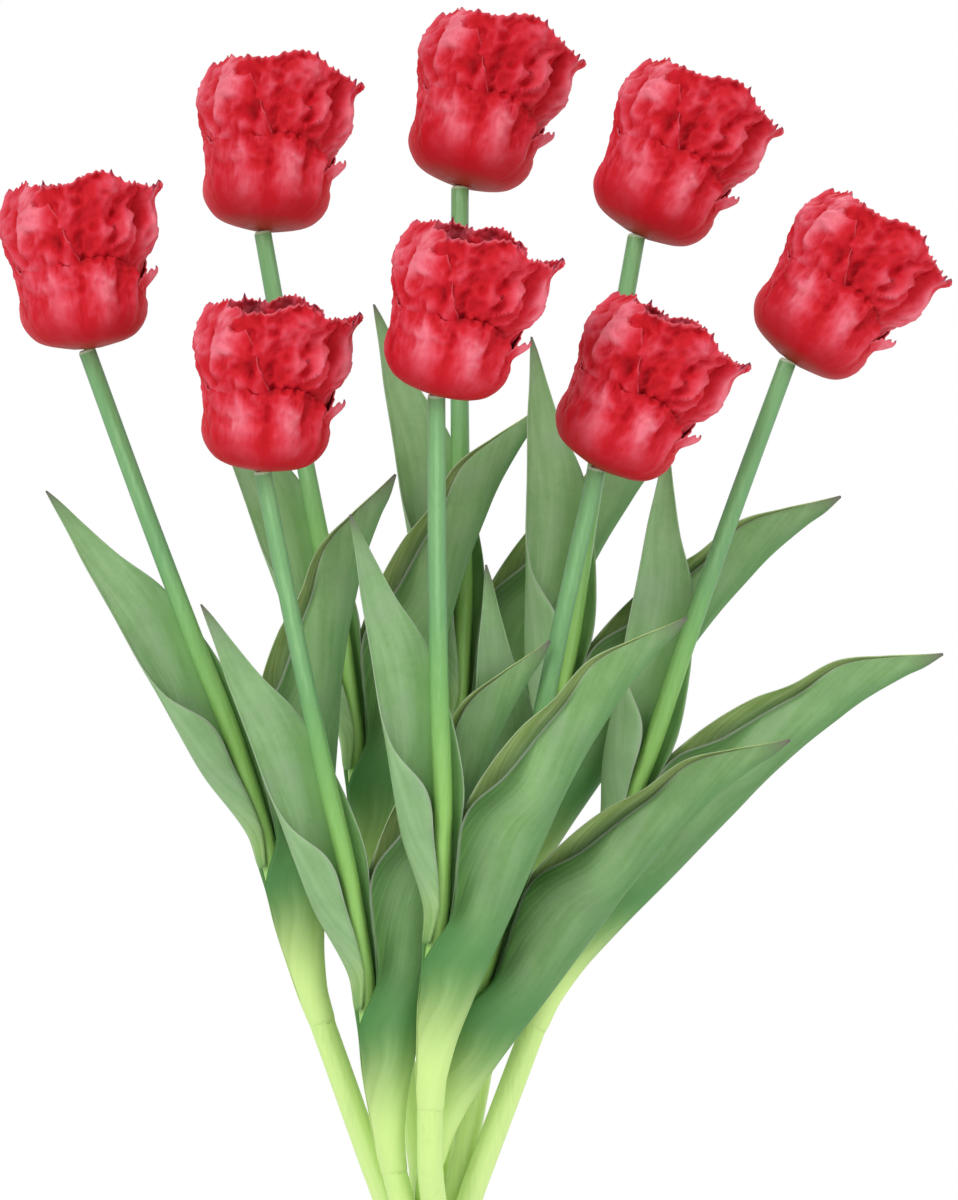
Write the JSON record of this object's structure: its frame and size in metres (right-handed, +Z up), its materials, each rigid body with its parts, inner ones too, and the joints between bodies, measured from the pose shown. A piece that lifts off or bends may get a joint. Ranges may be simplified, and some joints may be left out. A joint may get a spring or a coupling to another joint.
{
  "type": "artificial tulip bunch",
  "caption": "Spread bunch of artificial parrot tulips: ruffled red flower heads on curved green stems with clasping leaves, strapped together near the foot.",
  "frame": {"origin": "centre of the middle stem's wire at the cut ends of the stems", "axes": "+Z up along the bundled stems, +X to the right and -Y towards the viewer of the front"},
  "size_m": [0.3392, 0.2191, 0.5022],
  "materials": {
    "stem_green": "satin moulded, pale towards the foot",
    "leaf_green": "soft matte with fine lengthwise veins",
    "petal_red": "soft, ruffled, fine veins",
    "centre_yellow": "matte moulded",
    "wire_steel": "drawn wire",
    "strap_green": "smooth"
  },
  "bodies": {
    "root": {"stem_a": "stem_green", "stem_wire_a": "wire_steel", "small_leaf_a": "leaf_green", "large_leaf_a": "leaf_green", "stem_b": "stem_green", "stem_wire_b": "wire_steel", "small_leaf_b": "leaf_green", "large_leaf_b": "leaf_green", "stem_c": "stem_green", "stem_wire_c": "wire_steel", "small_leaf_c": "leaf_green", "large_leaf_c": "leaf_green", "stem_d": "stem_green", "stem_wire_d": "wire_steel", "small_leaf_d": "leaf_green", "large_leaf_d": "leaf_green", "stem_e": "stem_green", "stem_wire_e": "wire_steel", "small_leaf_e": "leaf_green", "large_leaf_e": "leaf_green", "stem_f": "stem_green", "stem_wire_f": "wire_steel", "small_leaf_f": "leaf_green", "large_leaf_f": "leaf_green", "stem_g": "stem_green", "stem_wire_g": "wire_steel", "small_leaf_g": "leaf_green", "large_leaf_g": "leaf_green", "stem_h": "stem_green", "stem_wire_h": "wire_steel", "small_leaf_h": "leaf_green", "large_leaf_h": "leaf_green"},
    "strap": {"stem_strap": "strap_green"},
    "centre_a": {"flower_centre_a": "centre_yellow"},
    "petals_a": {"outer_petals_a": "petal_red", "inner_petals_a": "petal_red"},
    "centre_b": {"flower_centre_b": "centre_yellow"},
    "petals_b": {"outer_petals_b": "petal_red", "inner_petals_b": "petal_red"},
    "centre_c": {"flower_centre_c": "centre_yellow"},
    "petals_c": {"outer_petals_c": "petal_red", "inner_petals_c": "petal_red"},
    "centre_d": {"flower_centre_d": "centre_yellow"},
    "petals_d": {"outer_petals_d": "petal_red", "inner_petals_d": "petal_red"},
    "centre_e": {"flower_centre_e": "centre_yellow"},
    "petals_e": {"outer_petals_e": "petal_red", "inner_petals_e": "petal_red"},
    "centre_f": {"flower_centre_f": "centre_yellow"},
    "petals_f": {"outer_petals_f": "petal_red", "inner_petals_f": "petal_red"},
    "centre_g": {"flower_centre_g": "centre_yellow"},
    "petals_g": {"outer_petals_g": "petal_red", "inner_petals_g": "petal_red"},
    "centre_h": {"flower_centre_h": "centre_yellow"},
    "petals_h": {"outer_petals_h": "petal_red", "inner_petals_h": "petal_red"}
  },
  "joints": [
    {"name": "head_pull_a", "type": "slide", "parent": "root", "child": "centre_a", "axis": [-0.3383, -0.0487, 0.9398], "range_m": [0, 0.018]},
    {"name": "head_pull_b", "type": "slide", "parent": "root", "child": "centre_b", "axis": [-0.1743, 0.1118, 0.9783], "range_m": [0, 0.018]},
    {"name": "head_pull_c", "type": "slide", "parent": "root", "child": "centre_c", "axis": [0.0069, 0.1446, 0.9895], "range_m": [0, 0.018]},
    {"name": "head_pull_d", "type": "slide", "parent": "root", "child": "centre_d", "axis": [0.1767, 0.0682, 0.9819], "range_m": [0, 0.018]},
    {"name": "head_pull_e", "type": "slide", "parent": "root", "child": "centre_e", "axis": [0, -0.1977, 0.9803], "range_m": [0, 0.018]},
    {"name": "head_pull_f", "type": "slide", "parent": "root", "child": "centre_f", "axis": [-0.1897, -0.1693, 0.9671], "range_m": [0, 0.018]},
    {"name": "head_pull_g", "type": "slide", "parent": "root", "child": "centre_g", "axis": [0.2216, -0.1196, 0.9678], "range_m": [0, 0.018]},
    {"name": "head_pull_h", "type": "slide", "parent": "root", "child": "centre_h", "axis": [0.3483, 0.0426, 0.9364], "range_m": [0, 0.018]},
    {"name": "petals_turn_a", "type": "hinge", "parent": "centre_a", "child": "petals_a", "pos_m": [-0.1224, -0.018, 0.3773], "axis": [-0.0836, -0.0516, 0.9952], "continuous": true},
    {"name": "petals_turn_b", "type": "hinge", "parent": "centre_b", "child": "petals_b", "pos_m": [-0.0598, 0.05, 0.4205], "axis": [0.0849, 0.1131, 0.9899], "continuous": true},
    {"name": "petals_turn_c", "type": "hinge", "parent": "centre_c", "child": "petals_c", "pos_m": [0.0115, 0.072, 0.437], "axis": [0.263, 0.1395, 0.9547], "continuous": true},
    {"name": "petals_turn_d", "type": "hinge", "parent": "centre_d", "child": "petals_d", "pos_m": [0.0752, 0.03, 0.419], "axis": [0.4249, 0.0627, 0.903], "continuous": true},
    {"name": "petals_turn_e", "type": "hinge", "parent": "centre_e", "child": "petals_e", "pos_m": [0.0032, -0.08, 0.3607], "axis": [0.254, -0.1912, 0.9481], "continuous": true},
    {"name": "petals_turn_f", "type": "hinge", "parent": "centre_f", "child": "petals_f", "pos_m": [-0.059, -0.058, 0.3337], "axis": [0.067, -0.172, 0.9828], "continuous": true},
    {"name": "petals_turn_g", "type": "hinge", "parent": "centre_g", "child": "petals_g", "pos_m": [0.0605, -0.04, 0.3348], "axis": [0.4652, -0.1086, 0.8785], "continuous": true},
    {"name": "petals_turn_h", "type": "hinge", "parent": "centre_h", "child": "petals_h", "pos_m": [0.1296, 0.012, 0.3737], "axis": [0.5789, 0.0371, 0.8146], "continuous": true},
    {"name": "strap_slide", "type": "slide", "parent": "root", "child": "strap", "axis": [0, 0, -1], "range_m": [0, 0.046]}
  ]
}
